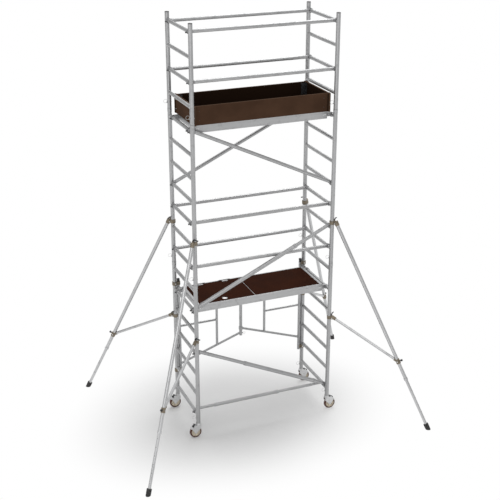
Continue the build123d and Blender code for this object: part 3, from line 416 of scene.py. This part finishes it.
LOOKS = {
    "frame_aluminium": aluminium("frame_aluminium", "frame"),
    "brace_aluminium": aluminium("brace_aluminium", "x"),
    "diagonal_aluminium": aluminium("diagonal_aluminium", "slope"),
    "deck_aluminium": aluminium("deck_aluminium", "x", 1.06),
    # The stabiliser tubes are a 1.30 times lighter copy of the tube aluminium: painted light.
    "stabiliser_aluminium": aluminium("stabiliser_aluminium", "stabiliser", 1.30),
    "leaf_aluminium": aluminium("leaf_aluminium", "z", 1.0, black_above=1.7895),
    "black_plastic": plastic("black_plastic", BLACK),
    "black_rubber": plastic("black_rubber", (0.014, 0.014, 0.0145), 0.62, 0.30),
    "black_casting": casting("black_casting", (0.035, 0.035, 0.037), 0.35, (0.30, 0.30, 0.30), 0.5),
    "coupler_casting": casting("coupler_casting", OLIVE, 0.6, OLIVE_WORN, 0.45),
    "stabiliser_casting": casting("stabiliser_casting", OLIVE, 0.6, OLIVE_WORN, 0.45, "levers"),
    "hook_casting": casting("hook_casting", GREY, 0.85, GREY_WORN, 0.45, "latches"),
    "zinc_steel": zinc("zinc_steel"),
    "bright_steel": zinc("bright_steel", 1.15),
    "film_faced_plywood": film_plywood("film_faced_plywood", DECK_BROWN, "z"),
    "toe_board_long": film_plywood("toe_board_long", BOARD_BROWN, "y"),
    "toe_board_end": film_plywood("toe_board_end", BOARD_BROWN, "x"),
    "castor_wheel": castor_wheel("castor_wheel"),
    "cream_nylon": plastic("cream_nylon", (0.46, 0.41, 0.32), 0.40, 0.10),
    "seam_black": plastic("seam_black", (0.02, 0.02, 0.02), 0.7, 0.1),
}


def look_of(node):
    """The material of a CAD node, from its name."""
    if node.startswith(("base_frame", "mid_frame", "top_frame")):
        return "frame_aluminium"
    if node.startswith("rear_leaf"):
        return "leaf_aluminium"
    if node.startswith("guardrails") or node == "base_brace":
        return "brace_aluminium"
    if "diagonal" in node:
        return "diagonal_aluminium"
    if node.endswith("deck_frame"):
        return "deck_aluminium"
    if node.endswith(("deck_panel", "_hatch")):
        return "film_faced_plywood"
    if node in ("toe_board_front", "toe_board_rear"):
        return "toe_board_long"
    if node.startswith("toe_board"):
        return "toe_board_end"
    if node.startswith("stabiliser") and node.endswith("_couplers"):
        return "stabiliser_casting"
    if node == "rear_couplers":
        return "coupler_casting"
    if node.endswith(("_arm", "_leg")):
        return "stabiliser_aluminium"
    if node.endswith("_foot"):
        return "black_rubber"
    if node.endswith("_wheel"):
        return "castor_wheel"
    if node.endswith("_fork"):
        return "bright_steel"
    if node in ("castor_stems", "locking_clips", "centre_lock_pin"):
        return "zinc_steel"
    if node.endswith(("claws", "_hooks")):
        return "hook_casting"
    if node == "leg_end_plugs":
        return "black_plastic"
    return "black_casting"


for node_name, node_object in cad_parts.items():
    node_object.data.materials.clear()
    node_object.data.materials.append(LOOKS[look_of(node_name)])


# ---------------------------------------------------------------- mesh helpers
def piece(name, mesh, body, look, sharp=35.0):
    """Links a finished bmesh as a piece that rides on a CAD body."""
    bmesh.ops.recalc_face_normals(mesh, faces=mesh.faces)
    data = bpy.data.meshes.new(name)
    mesh.to_mesh(data)
    mesh.free()
    data.shade_smooth()
    data.set_sharp_from_angle(angle=math.radians(sharp))
    data.materials.append(LOOKS[look])
    made = bpy.data.objects.new(name, data)
    bpy.context.scene.collection.objects.link(made)
    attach(made, body)
    return made


def sweep(mesh, points, radii, closed=False, sides=8):
    """A round wire through the points."""
    count = len(points)
    points = [Vector(p) for p in points]
    rings = []
    normal = None
    for i, point in enumerate(points):
        before = points[(i - 1) % count] if closed or i else point
        after = points[(i + 1) % count] if closed or i < count - 1 else point
        tangent = (after - before).normalized()
        if normal is None:
            normal = tangent.orthogonal().normalized()
        normal = (normal - tangent * normal.dot(tangent)).normalized()
        side = tangent.cross(normal)
        radius = radii[i] if isinstance(radii, list) else radii
        ring = []
        for k in range(sides):
            a = 2 * math.pi * k / sides
            spoke = normal * (radius * math.cos(a)) + side * (radius * math.sin(a))
            ring.append(mesh.verts.new(point + spoke))
        rings.append(ring)
    last = count if closed else count - 1
    for i in range(last):
        first, second = rings[i], rings[(i + 1) % count]
        for k in range(sides):
            mesh.faces.new((first[k], first[(k + 1) % sides], second[(k + 1) % sides], second[k]))
    if not closed:
        mesh.faces.new(rings[0][::-1])
        mesh.faces.new(rings[-1])


def lathe(mesh, origin, axis, profile, segments=24):
    """A solid of revolution from (radius, distance along the axis) pairs, closed at both ends."""
    origin, axis = Vector(origin), Vector(axis).normalized()
    u = axis.orthogonal().normalized()
    v = axis.cross(u)
    rings = []
    for radius, along in profile:
        centre = origin + axis * along
        if radius < 1e-6:
            rings.append([mesh.verts.new(centre)])
            continue
        ring = []
        for k in range(segments):
            a = 2 * math.pi * k / segments
            ring.append(mesh.verts.new(centre + u * (radius * math.cos(a)) + v * (radius * math.sin(a))))
        rings.append(ring)
    for low, high in zip(rings, rings[1:]):
        for k in range(segments):
            after = (k + 1) % segments
            if len(low) == 1:
                mesh.faces.new((low[0], high[after], high[k]))
            elif len(high) == 1:
                mesh.faces.new((low[k], low[after], high[0]))
            else:
                mesh.faces.new((low[k], low[after], high[after], high[k]))
    for ring in (rings[0], rings[-1]):
        if len(ring) > 1:
            mesh.faces.new(ring)


def band(mesh, origin, axis, outer, inner, low, high, bevel=0.001, segments=48):
    """A closed collar with broken edges, open in the middle."""
    origin, axis = Vector(origin), Vector(axis).normalized()
    u = axis.orthogonal().normalized()
    v = axis.cross(u)
    profile = [
        (inner, low),
        (outer - bevel, low),
        (outer, low + bevel),
        (outer, high - bevel),
        (outer - bevel, high),
        (inner, high),
    ]
    rings = []
    for radius, along in profile:
        ring = []
        for k in range(segments):
            a = 2 * math.pi * k / segments
            spoke = u * (radius * math.cos(a)) + v * (radius * math.sin(a))
            ring.append(mesh.verts.new(origin + axis * along + spoke))
        rings.append(ring)
    for i, ring in enumerate(rings):
        after = rings[(i + 1) % len(rings)]
        for k in range(segments):
            mesh.faces.new((ring[k], ring[(k + 1) % segments], after[(k + 1) % segments], after[k]))


def rivet(mesh, origin, axis, radius):
    """A domed rivet head."""
    dome = [(1.0, 0.15), (0.86, 0.34), (0.5, 0.5), (0, 0.56)]
    profile = [(radius, -0.0005)] + [(radius * r, radius * h) for r, h in dome]
    lathe(mesh, origin, axis, profile, 14)


def hex_bolt(mesh, origin, axis, size):
    """A washer and a chamfered hexagon head; size is the head's radius."""
    washer = [(size * 1.35, -0.0005), (size * 1.35, size * 0.18), (size * 1.22, size * 0.24)]
    lathe(mesh, origin, axis, washer, 24)
    height = size * 0.24
    head = [(size, height), (size, height + size * 0.55), (size * 0.84, height + size * 0.72)]
    lathe(mesh, origin, axis, head, 6)


def slab(mesh, low, high, bevel=0.0008):
    """A flat bar with broken edges."""
    centre = [(a + b) / 2 for a, b in zip(low, high)]
    size = [abs(b - a) for a, b in zip(low, high)]
    place = Matrix.Translation(centre) @ Matrix.Diagonal((*size, 1.0))
    made = bmesh.ops.create_cube(mesh, size=1.0, matrix=place)
    edges = {edge for vert in made["verts"] for edge in vert.link_edges}
    bmesh.ops.bevel(mesh, geom=list(edges), offset=bevel, segments=2, profile=0.6, affect="EDGES")


def rung_z(index):
    return FIRST_RUNG_Z + index * RUNG_PITCH


# ---------------------------------------------------------------- frames
def weld_path(x, y, z, sy):
    """Where a rung meets a leg: the curve in which the two tubes cross, on the rung's side."""
    points, radii = [], []
    count = 44
    for k in range(count):
        a = 2 * math.pi * k / count
        px, pz = RUNG_RADIUS * math.cos(a), RUNG_RADIUS * math.sin(a)
        depth = math.sqrt(LEG_RADIUS ** 2 - px ** 2)
        points.append((x + px * 1.03, y - sy * (depth + 0.0005), z + pz * 1.03))
        radii.append(0.0023 + 0.0005 * math.sin(11 * a + x * 7 + z * 5))
    return points, radii


def make_welds():
    spans = {"base": range(0, 7), "mid": range(7, 14), "top": range(14, 18)}
    for level, rungs in spans.items():
        for side, sx in SIDES.items():
            mesh = bmesh.new()
            for index in rungs:
                for sy in (-1, 1):
                    points, radii = weld_path(sx * LEG_X, sy * LEG_Y, rung_z(index), sy)
                    sweep(mesh, points, radii, closed=True, sides=6)
            piece(f"rung_welds_{level}_{side}", mesh, "tower", "bright_steel", 60.0)


def make_joint_collars():
    """Swaged collars just below the joints between the frames, with the dark gap of the joint."""
    collars, gaps, rivets = bmesh.new(), bmesh.new(), bmesh.new()
    for sx, sy in CORNERS.values():
        for z in JOINTS_Z:
            x, y = sx * LEG_X, sy * LEG_Y
            at, up, inner = (x, y, z), (0, 0, 1), LEG_RADIUS - 0.0005
            band(collars, at, up, LEG_RADIUS + 0.0016, inner, -0.048, -0.0012, 0.0012)
            band(collars, at, up, LEG_RADIUS + 0.0008, inner, 0.0012, 0.012, 0.0006)
            band(gaps, at, up, LEG_RADIUS + 0.0004, inner, -0.0012, 0.0012, 0.0001)
            for dy in (-1, 1):
                rivet(rivets, (x, y + dy * (LEG_RADIUS + 0.0014), z - 0.028), (0, dy, 0), 0.0042)
    piece("leg_joint_collars", collars, "tower", "frame_aluminium")
    piece("leg_joint_gaps", gaps, "tower", "seam_black")
    piece("leg_joint_rivets", rivets, "tower", "bright_steel")


# ---------------------------------------------------------------- claws and hooks
CLAWS = [(index, y) for index in (17, 15) for y in (-BRACE_Y, BRACE_Y)]
CLAWS += [(index, y) for index in (9, 7) for y in (-INNER_BRACE_Y, BRACE_Y)]
ENDS = [(sx, index, y) for index, y in CLAWS for sx in (-1, 1)]
ENDS += [(-1, 13, -BRACE_Y), (1, 10, -BRACE_Y), (-1, 10, BRACE_Y), (1, 13, BRACE_Y)]
ENDS += [(-1, 5, -BRACE_Y), (1, 8, -BRACE_Y), (-1, 3, -BRACE_Y), (1, 0, -BRACE_Y)]
ENDS += [(-1, 0, -INNER_BRACE_Y), (1, 0, -INNER_BRACE_Y)]


def make_claw_details():
    """Rivets, springs and thumb tabs of the claw latches, and the base brace's two ferrules."""
    rivets, springs, tabs = bmesh.new(), bmesh.new(), bmesh.new()
    for sx, index, y in ENDS:
        x, z = sx * LEG_X, rung_z(index)
        for dy in (-1, 1):
            face = y + dy * CLAW_HALF_WIDTH
            rivet(rivets, (x - sx * 0.010, face, z + 0.023), (0, dy, 0), 0.0030)
            rivet(rivets, (x + sx * 0.0245, face, z - 0.005), (0, dy, 0), 0.0030)
        coil = []
        for k in range(60):
            a = 2 * math.pi * 6 * k / 59
            coil_x = x + sx * 0.0325 + 0.0030 * math.cos(a)
            coil_z = z - 0.0010 + 0.0030 * math.sin(a)
            coil.append((coil_x, y - 0.0120 + 0.024 * k / 59, coil_z))
        sweep(springs, coil, 0.0006, sides=5)
        low = (x + sx * 0.031, y - 0.006, z - 0.0165)
        slab(tabs, low, (x + sx * 0.0405, y + 0.006, z - 0.0100), 0.0015)
    piece("claw_rivets", rivets, "tower", "bright_steel")
    piece("claw_springs", springs, "tower", "zinc_steel")
    piece("claw_thumb_tabs", tabs, "tower", "black_casting")
    ferrules = bmesh.new()
    for x in FERRULES_X:
        at = (x, -INNER_BRACE_Y, rung_z(0) + 0.030)
        band(ferrules, at, (1, 0, 0), 0.0202, 0.0176, -0.040, 0.040, 0.0012)
    piece("base_brace_ferrules", ferrules, "tower", "brace_aluminium")


# ---------------------------------------------------------------- platforms
def make_deck_details():
    for level, z in DECKS.items():
        fixed, moving, bolts, strip_fixed, strip_moving, grip = (bmesh.new() for _ in range(6))
        top = z + 0.050
        for sy in (-1, 1):
            for k in range(12):
                x = -0.77 + 1.54 * k / 11
                rivet(fixed, (x, sy * 0.2925, top), (0, 0, 1), 0.0032)
            for sx in (-1, 1):
                for dx in (0.022, 0.044):
                    hex_bolt(bolts, (sx * (DECK_X - dx), sy * DECK_Y, z + 0.008), (0, sy, 0), 0.0075)
            for dz in (0.020, -0.030):
                low = (-DECK_X, sy * 0.2995, z + dz)
                slab(strip_fixed, low, (DECK_X, sy * 0.3008, z + dz + 0.004), 0.0003)
        for sx in (-1, 1):
            for k in range(4):
                rivet(fixed, (sx * 0.815, -0.21 + 0.14 * k, top), (0, 0, 1), 0.0032)
        for x in HATCH_HINGES_X:
            for dx in (-0.028, 0.028):
                for dy in (0.014, 0.032):
                    rivet(moving, (x + dx, HINGE_Y - dy, z + 0.053), (0, 0, 1), 0.0030)
            for sx in (-1, 1):
                rivet(fixed, (x + sx * 0.058, 0.2925, z + 0.0560), (0, 1, 0.4), 0.0026)
        deck_top = z + PLY_TOP
        for strip, near, far in ((strip_fixed, 0.0012, 0.0034), (strip_moving, -0.0034, -0.0012)):
            low = (SEAM_X + near, -0.281, deck_top - 0.0003)
            slab(strip, low, (SEAM_X + far, 0.281, deck_top + 0.0010), 0.0003)
        hole_x, hole_y = FINGER_HOLE
        lip = FINGER_HOLE_RADIUS + 0.0005
        loop = []
        for k in range(48):
            a = 2 * math.pi * k / 48
            loop.append((hole_x + lip * math.cos(a), hole_y + lip * math.sin(a), deck_top + 0.0002))
        sweep(grip, loop, 0.0016, closed=True, sides=8)
        piece(f"{level}_deck_rivets", fixed, "tower", "bright_steel")
        piece(f"{level}_hook_bolts", bolts, "tower", "bright_steel")
        piece(f"{level}_deck_trims", strip_fixed, "tower", "deck_aluminium")
        piece(f"{level}_hatch_trim", strip_moving, f"{level}_hatch", "deck_aluminium")
        piece(f"{level}_hatch_screws", moving, f"{level}_hatch", "bright_steel")
        piece(f"{level}_finger_grommet", grip, f"{level}_hatch", "black_plastic")


def make_toe_board_details():
    """Corner straps of the toe boards and their bolts."""
    straps, bolts, screws = bmesh.new(), bmesh.new(), bmesh.new()
    for sx, sy in CORNERS.values():
        inner_y = sy * (BOARD_Y - 0.0125)
        outer_y = sy * (BOARD_Y + 0.0125)
        for z in (BOARD_Z + 0.055, BOARD_Z + 0.165):
            hex_bolt(bolts, (sx * (BOARD_X + 0.0125), sy * (BOARD_Y - 0.030), z), (sx, 0, 0), 0.0050)
            hex_bolt(screws, (sx * (BOARD_X - 0.060), outer_y, z), (0, sy, 0), 0.0035)
        low = (sx * (BOARD_X - 0.0125), inner_y, BOARD_Z + 0.010)
        high = (sx * (BOARD_X - 0.0155), inner_y - sy * 0.040, BOARD_TOP - 0.012)
        slab(straps, low, high)
        high = (sx * (BOARD_X - 0.072), inner_y - sy * 0.003, BOARD_TOP - 0.012)
        slab(straps, low, high)
    piece("toe_board_corner_straps", straps, "tower", "black_casting")
    piece("toe_board_screws", screws, "tower", "black_casting")
    piece("toe_board_bolts", bolts, "tower", "bright_steel")


# ---------------------------------------------------------------- folding base frame
def make_leaf_details():
    post_rail_z = {"left": 0.622, "right": 0.683}
    for side, sx in SIDES.items():
        post_z = post_rail_z[side]
        mesh = bmesh.new()
        for z in (post_z, 1.165, 2.33 - post_z):
            points, radii = [], []
            for k in range(36):
                a = 2 * math.pi * k / 36
                py, pz = 0.0145 * math.cos(a), 0.0145 * math.sin(a)
                depth = math.sqrt(0.019 ** 2 - py ** 2)
                points.append((sx * (POST_X - depth), LEG_Y + py * 1.03, z + pz * 1.03))
                radii.append(0.0018 + 0.0004 * math.sin(9 * a + z))
            sweep(mesh, points, radii, closed=True, sides=6)
        points, radii = [], []
        for k in range(36):
            a = 2 * math.pi * k / 36
            py, pz = 0.0145 * math.cos(a), 0.0145 * math.sin(a)
            depth = math.sqrt(0.016 ** 2 - py ** 2)
            points.append((sx * (0.335 + depth), LEG_Y + py * 1.03, 1.165 + pz * 1.03))
            radii.append(0.0017)
        sweep(mesh, points, radii, closed=True, sides=6)
        leaf = f"rear_leaf_{side}"
        piece(f"{leaf}_welds", mesh, leaf, "bright_steel", 60.0)
    bolts = bmesh.new()
    for sx in (-1, 1):
        for z in COUPLER_LEVELS:
            for sy in (-1, 1):
                at = (sx * (LEG_X - 0.002), LEG_Y + sy * (LEG_RADIUS + 0.0062), z)
                hex_bolt(bolts, at, (0, sy, 0), 0.0070)
    piece("rear_coupler_bolts", bolts, "tower", "bright_steel")


# ---------------------------------------------------------------- castors
def make_castor_details():
    for corner, (sx, sy) in CORNERS.items():
        x, y = sx * WHEEL_X, sy * LEG_Y
        rim, caps, cover, ribs = bmesh.new(), bmesh.new(), bmesh.new(), bmesh.new()
        for dy in (-1, 1):
            base = y + dy * 0.0070
            for k in range(6):
                a = 2 * math.pi * k / 6 + 0.3
                ends = []
                for r, rise in ((0.0195, 0.0020), (0.0500, 0.0015)):
                    ends.append(Vector((x + r * math.cos(a), base + dy * rise, WHEEL_Z + r * math.sin(a))))
                inner, outer = ends
                sweep(rim, [inner, inner.lerp(outer, 0.5), outer], [0.0050, 0.0036, 0.0050], sides=8)
            band(rim, (x, base, WHEEL_Z), (0, dy, 0), 0.0560, 0.0515, 0.0, 0.0118, 0.0012)
            cap = [(0.0165, 0.0221), (0.0165, 0.0226), (0.0150, 0.0228), (0.0075, 0.0228)]
            lathe(caps, (x, y, WHEEL_Z), (0, dy, 0), cap, 32)
        band(cover, (sx * LEG_X, y, 0.168), (0, 0, 1), 0.0325, 0.0298, -0.004, 0.0165, 0.0030)
        for k in range(4):
            u = 0.0695 + 0.0040 * k
            rise = 0.165 - 0.353 * (u - 0.068)
            low = (sx * (LEG_X + u), y - 0.0130, rise - 0.0030)
            slab(ribs, low, (sx * (LEG_X + u + 0.0020), y + 0.0130, rise + 0.0010), 0.0005)
        piece(f"castor_{corner}_rim_spokes", rim, f"wheel_{corner}", "cream_nylon", 40.0)
        piece(f"castor_{corner}_hub_caps", caps, f"wheel_{corner}", "zinc_steel")
        piece(f"castor_{corner}_head_cover", cover, f"castor_{corner}", "bright_steel")
        piece(f"castor_{corner}_pedal_ribs", ribs, f"brake_{corner}", "black_rubber")


# ---------------------------------------------------------------- stabilisers
def make_stabiliser_details():
    top = Vector((STAB_OFFSET, 0, STAB_TOP_Z))
    foot = Vector((STAB_REACH, 0, 0))
    along = (foot - top).normalized()
    outward = Vector((-along.z, 0, along.x))
    outer_end = top.lerp(foot, 0.744)
    junction = top.lerp(foot, 0.662)
    for corner, (sx, sy) in CORNERS.items():
        turn = Matrix.Rotation(math.atan2(sy, sx), 4, "Z")
        place = Matrix.Translation((sx * LEG_X, sy * LEG_Y, 0)) @ turn
        foot_rings, bolts, buttons, holes = (bmesh.new() for _ in range(4))
        for k in range(4):
            at = foot - along * (0.072 - 0.012 * k)
            band(foot_rings, at, along, 0.0312, 0.0295, 0.0, 0.0060, 0.0012, 32)
        for z in (STAB_TOP_Z, STAB_LOW_Z):
            for dy in (-1, 1):
                hex_bolt(bolts, (0.042, dy * 0.0150, z - 0.006), (0, dy, 0), 0.0080)
        for dy in (-1, 1):
            hex_bolt(bolts, junction + Vector((0, dy * 0.0279, 0)), (0, dy, 0), 0.0070)
        rivet(buttons, outer_end + along * 0.016 + outward * 0.0258, outward, 0.0060)
        for k in range(5):
            at = outer_end + along * (0.09 + 0.10 * k)
            rim = [(0.0045, 0.0), (0.0045, 0.0009), (0.0040, 0.0010)]
            lathe(holes, at + outward * 0.0178, outward, rim, 14)
        for mesh in (foot_rings, bolts, buttons, holes):
            mesh.transform(place)
        arm, leg = f"stabiliser_{corner}", f"stabiliser_leg_{corner}"
        piece(f"{arm}_foot_rings", foot_rings, leg, "black_rubber")
        piece(f"{arm}_bolts", bolts, arm, "bright_steel")
        piece(f"{arm}_button", buttons, arm, "bright_steel")
        piece(f"{arm}_button_holes", holes, leg, "seam_black")


make_welds()
make_joint_collars()
make_claw_details()
make_deck_details()
make_toe_board_details()
make_leaf_details()
make_castor_details()
make_stabiliser_details()


# ---------------------------------------------------------------- floor, light, camera
def make_floor():
    mesh = bmesh.new()
    bmesh.ops.create_grid(mesh, x_segments=4, y_segments=4, size=40.0)
    data = bpy.data.meshes.new("studio_floor")
    mesh.to_mesh(data)
    mesh.free()
    data.materials.append(studio_floor("studio_floor"))
    floor = bpy.data.objects.new("studio_floor", data)
    bpy.context.scene.collection.objects.link(floor)


def make_area_light(name, position, target, size, power):
    data = bpy.data.lights.new(name, "AREA")
    data.shape = "DISK"
    data.size = size
    data.energy = power
    lamp = bpy.data.objects.new(name, data)
    lamp.location = position
    lamp.rotation_euler = (Vector(target) - Vector(position)).to_track_quat("-Z", "Y").to_euler()
    bpy.context.scene.collection.objects.link(lamp)


def make_world():
    """Soft studio surround, brighter overhead; plain white where the camera sees it."""
    world = bpy.data.worlds.new("studio")
    bpy.context.scene.world = world
    world.use_nodes = True
    tree = world.node_tree
    background = tree.nodes["Background"]
    place = tree.nodes.new("ShaderNodeTexCoord")
    split = tree.nodes.new("ShaderNodeSeparateXYZ")
    level = tree.nodes.new("ShaderNodeMapRange")
    level.inputs["From Min"].default_value = -0.1
    level.inputs["From Max"].default_value = 0.9
    level.inputs["To Min"].default_value = 0.34
    level.inputs["To Max"].default_value = 1.12
    path = tree.nodes.new("ShaderNodeLightPath")
    choose = tree.nodes.new("ShaderNodeMix")
    tree.links.new(place.outputs["Generated"], split.inputs[0])
    tree.links.new(split.outputs[2], level.inputs["Value"])
    tree.links.new(path.outputs["Is Camera Ray"], choose.inputs[0])
    tree.links.new(level.outputs["Result"], choose.inputs[2])
    choose.inputs[3].default_value = 1.0
    tree.links.new(choose.outputs[0], background.inputs["Strength"])
    background.inputs["Color"].default_value = (1.0, 1.0, 1.0, 1.0)


def make_camera():
    data = bpy.data.cameras.new("camera")
    data.lens = CAMERA_LENS
    data.sensor_width = 36.0
    data.shift_x, data.shift_y = CAMERA_SHIFT
    data.clip_end = 200.0
    camera = bpy.data.objects.new("camera", data)
    yaw, pitch = CAMERA_YAW, CAMERA_PITCH
    level = Vector((math.sin(yaw), math.cos(yaw), 0.0))
    forward = level * math.cos(pitch) - Vector((0.0, 0.0, math.sin(pitch)))
    right = Vector((math.cos(yaw), -math.sin(yaw), 0.0))
    up = right.cross(forward)
    right = right * math.cos(CAMERA_ROLL) + up * math.sin(CAMERA_ROLL)
    up = right.cross(forward)
    turn = Matrix((right, up, -forward)).transposed().to_4x4()
    camera.matrix_world = Matrix.Translation(CAMERA_POSITION) @ turn
    bpy.context.scene.collection.objects.link(camera)
    bpy.context.scene.camera = camera


make_floor()
make_world()
make_area_light("key", (4.0, 4.5, 10.5), (0.0, 0.0, 2.0), 8.0, 430.0)
make_area_light("fill", (-6.0, -8.0, 6.5), (0.0, 0.0, 2.5), 8.0, 200.0)
make_camera()
bpy.context.scene.view_settings.view_transform = "Standard"
bpy.context.scene.view_settings.look = "None"
